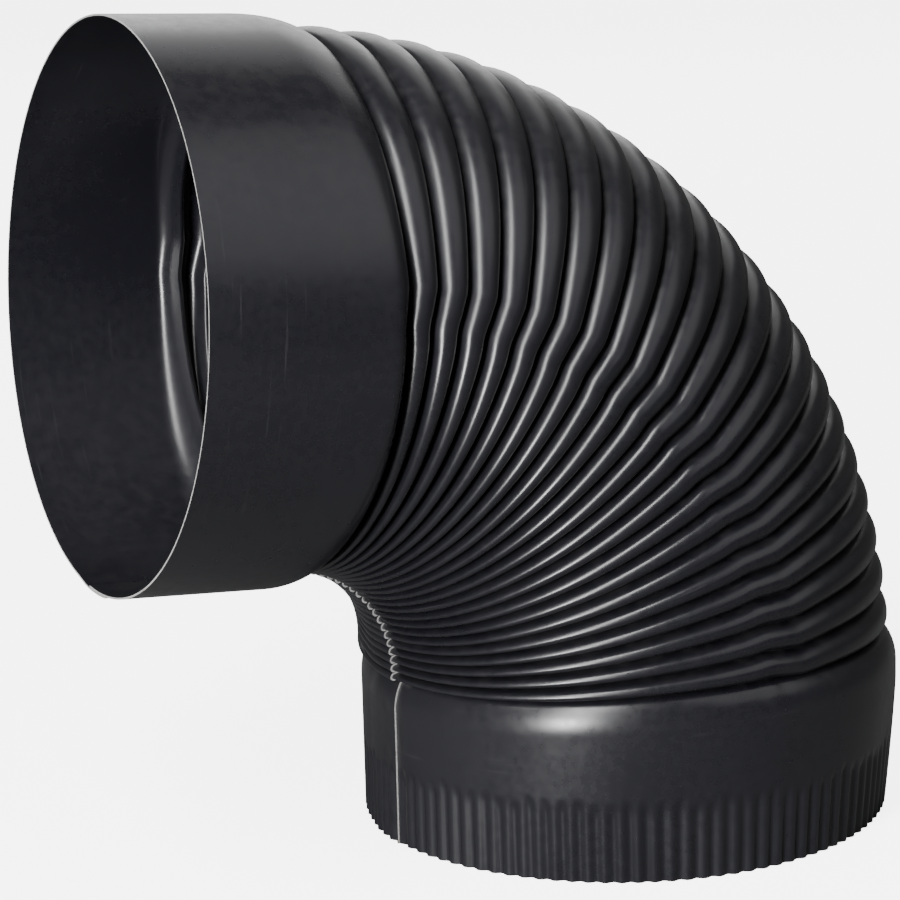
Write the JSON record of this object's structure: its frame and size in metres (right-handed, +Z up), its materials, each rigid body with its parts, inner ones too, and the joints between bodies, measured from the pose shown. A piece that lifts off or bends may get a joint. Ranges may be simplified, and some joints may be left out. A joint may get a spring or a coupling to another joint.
{
  "type": "flue elbow",
  "caption": "Corrugated flue elbow of black painted sheet steel, a plain socket collar at one end and a crimped spigot at the other, turning a stove pipe through nearly a right angle.",
  "frame": {"origin": "centre of the bounding box at the level of the spigot's crimped rim, on which the part stands", "axes": "+Z up along the spigot's axis, away from its rim; the collar opens towards -X and 4.4 degrees upwards; the duct is bent in the XZ plane and the seam lies in the throat of the bend"},
  "size_m": [0.236, 0.1538, 0.237],
  "materials": {
    "painted_sheet": "satin black stove paint on cold rolled sheet, bare bright steel on the cut edges",
    "spot_weld": "the same satin black paint, slightly duller in the weld dimple"
  },
  "bodies": {
    "root": {"inlet_collar": "painted_sheet", "pleated_bend": "painted_sheet", "crimped_spigot": "painted_sheet", "collar_weld_1": "spot_weld", "collar_weld_2": "spot_weld", "collar_weld_3": "spot_weld", "spigot_weld_1": "spot_weld", "spigot_weld_2": "spot_weld", "spigot_weld_3": "spot_weld"}
  },
  "joints": []
}
